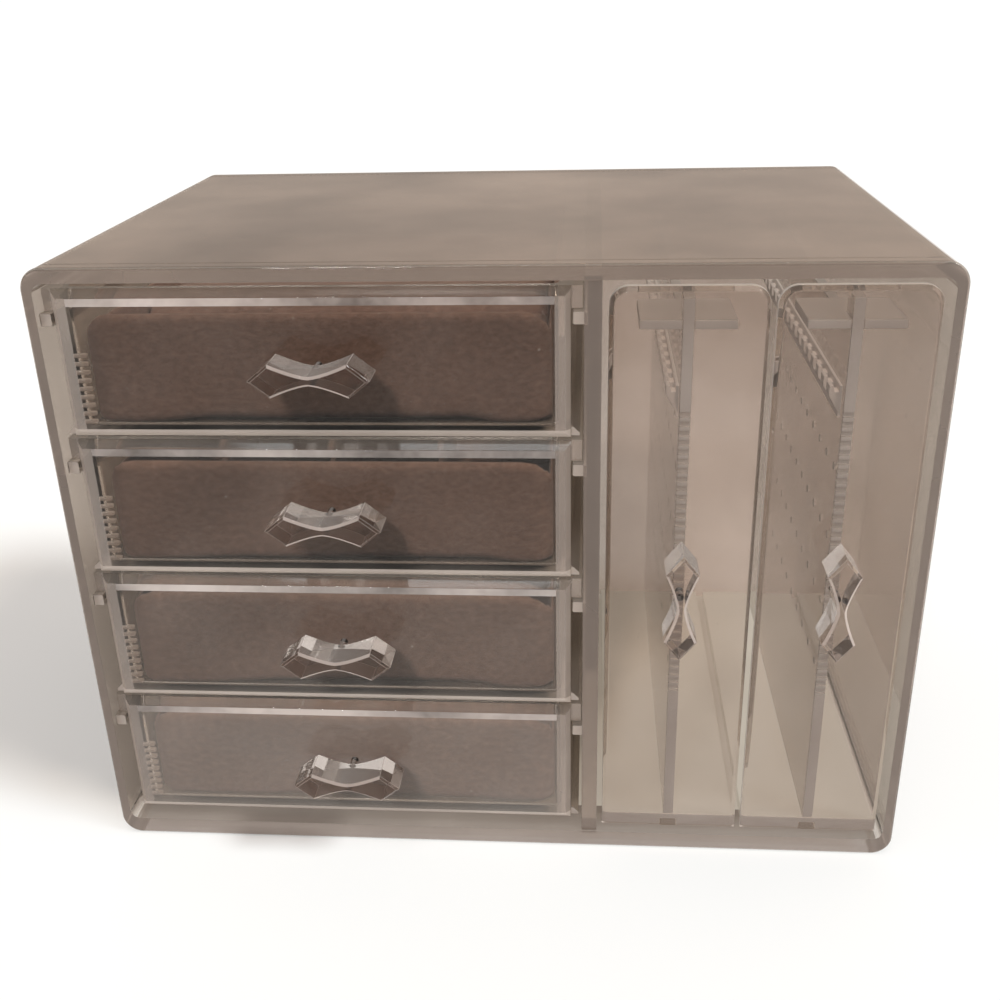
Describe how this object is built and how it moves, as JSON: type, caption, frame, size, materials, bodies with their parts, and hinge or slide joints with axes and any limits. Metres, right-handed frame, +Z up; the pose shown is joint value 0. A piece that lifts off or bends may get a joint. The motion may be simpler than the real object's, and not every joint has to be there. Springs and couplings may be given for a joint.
{
  "type": "desktop jewellery organizer",
  "caption": "Clear acrylic desktop organizer: a stack of shallow drawers with flocked trays beside tall pull-out earring racks, with faceted bow-tie knobs.",
  "frame": {"origin": "middle of the case's underside, on the surface it stands on", "axes": "+X to the viewer's right along the width, +Y towards the back, +Z up; the open front faces -Y"},
  "size_m": [0.235, 0.1638, 0.178],
  "materials": {
    "clear_acrylic": "clear, polished, faintly warm",
    "knob_acrylic": "clear, faceted, polished",
    "flocked_tray": "matt taupe-grey flock"
  },
  "bodies": {
    "case": {"outer_case": "clear_acrylic", "bay_partition": "clear_acrylic", "case_drawer_rails": "clear_acrylic", "partition_drawer_rails": "clear_acrylic", "rack_floor_guides": "clear_acrylic"},
    "drawer_1": {"drawer_1_box": "clear_acrylic", "drawer_1_velvet_tray": "flocked_tray", "drawer_1_ring_rolls": "flocked_tray", "drawer_1_knob": "knob_acrylic"},
    "drawer_2": {"drawer_2_box": "clear_acrylic", "drawer_2_velvet_tray": "flocked_tray", "drawer_2_tray_divider": "flocked_tray", "drawer_2_knob": "knob_acrylic"},
    "drawer_3": {"drawer_3_box": "clear_acrylic", "drawer_3_velvet_tray": "flocked_tray", "drawer_3_tray_divider": "flocked_tray", "drawer_3_knob": "knob_acrylic"},
    "drawer_4": {"drawer_4_box": "clear_acrylic", "drawer_4_velvet_tray": "flocked_tray", "drawer_4_tray_divider": "flocked_tray", "drawer_4_knob": "knob_acrylic"},
    "rack_1": {"rack_1_front_panel": "clear_acrylic", "rack_1_base_plate": "clear_acrylic", "rack_1_earring_board": "clear_acrylic", "rack_1_brace": "clear_acrylic", "rack_1_necklace_hooks": "clear_acrylic", "rack_1_knob": "knob_acrylic"},
    "rack_2": {"rack_2_front_panel": "clear_acrylic", "rack_2_base_plate": "clear_acrylic", "rack_2_earring_board": "clear_acrylic", "rack_2_brace": "clear_acrylic", "rack_2_necklace_hooks": "clear_acrylic", "rack_2_knob": "knob_acrylic"}
  },
  "joints": [
    {"name": "drawer_1_slide", "type": "slide", "parent": "case", "child": "drawer_1", "axis": [0, -1, 0], "range_m": [0, 0.115]},
    {"name": "drawer_2_slide", "type": "slide", "parent": "case", "child": "drawer_2", "axis": [0, -1, 0], "range_m": [0, 0.115]},
    {"name": "drawer_3_slide", "type": "slide", "parent": "case", "child": "drawer_3", "axis": [0, -1, 0], "range_m": [0, 0.115]},
    {"name": "drawer_4_slide", "type": "slide", "parent": "case", "child": "drawer_4", "axis": [0, -1, 0], "range_m": [0, 0.115]},
    {"name": "rack_1_slide", "type": "slide", "parent": "case", "child": "rack_1", "axis": [0, -1, 0], "range_m": [0, 0.115]},
    {"name": "rack_2_slide", "type": "slide", "parent": "case", "child": "rack_2", "axis": [0, -1, 0], "range_m": [0, 0.115]}
  ]
}
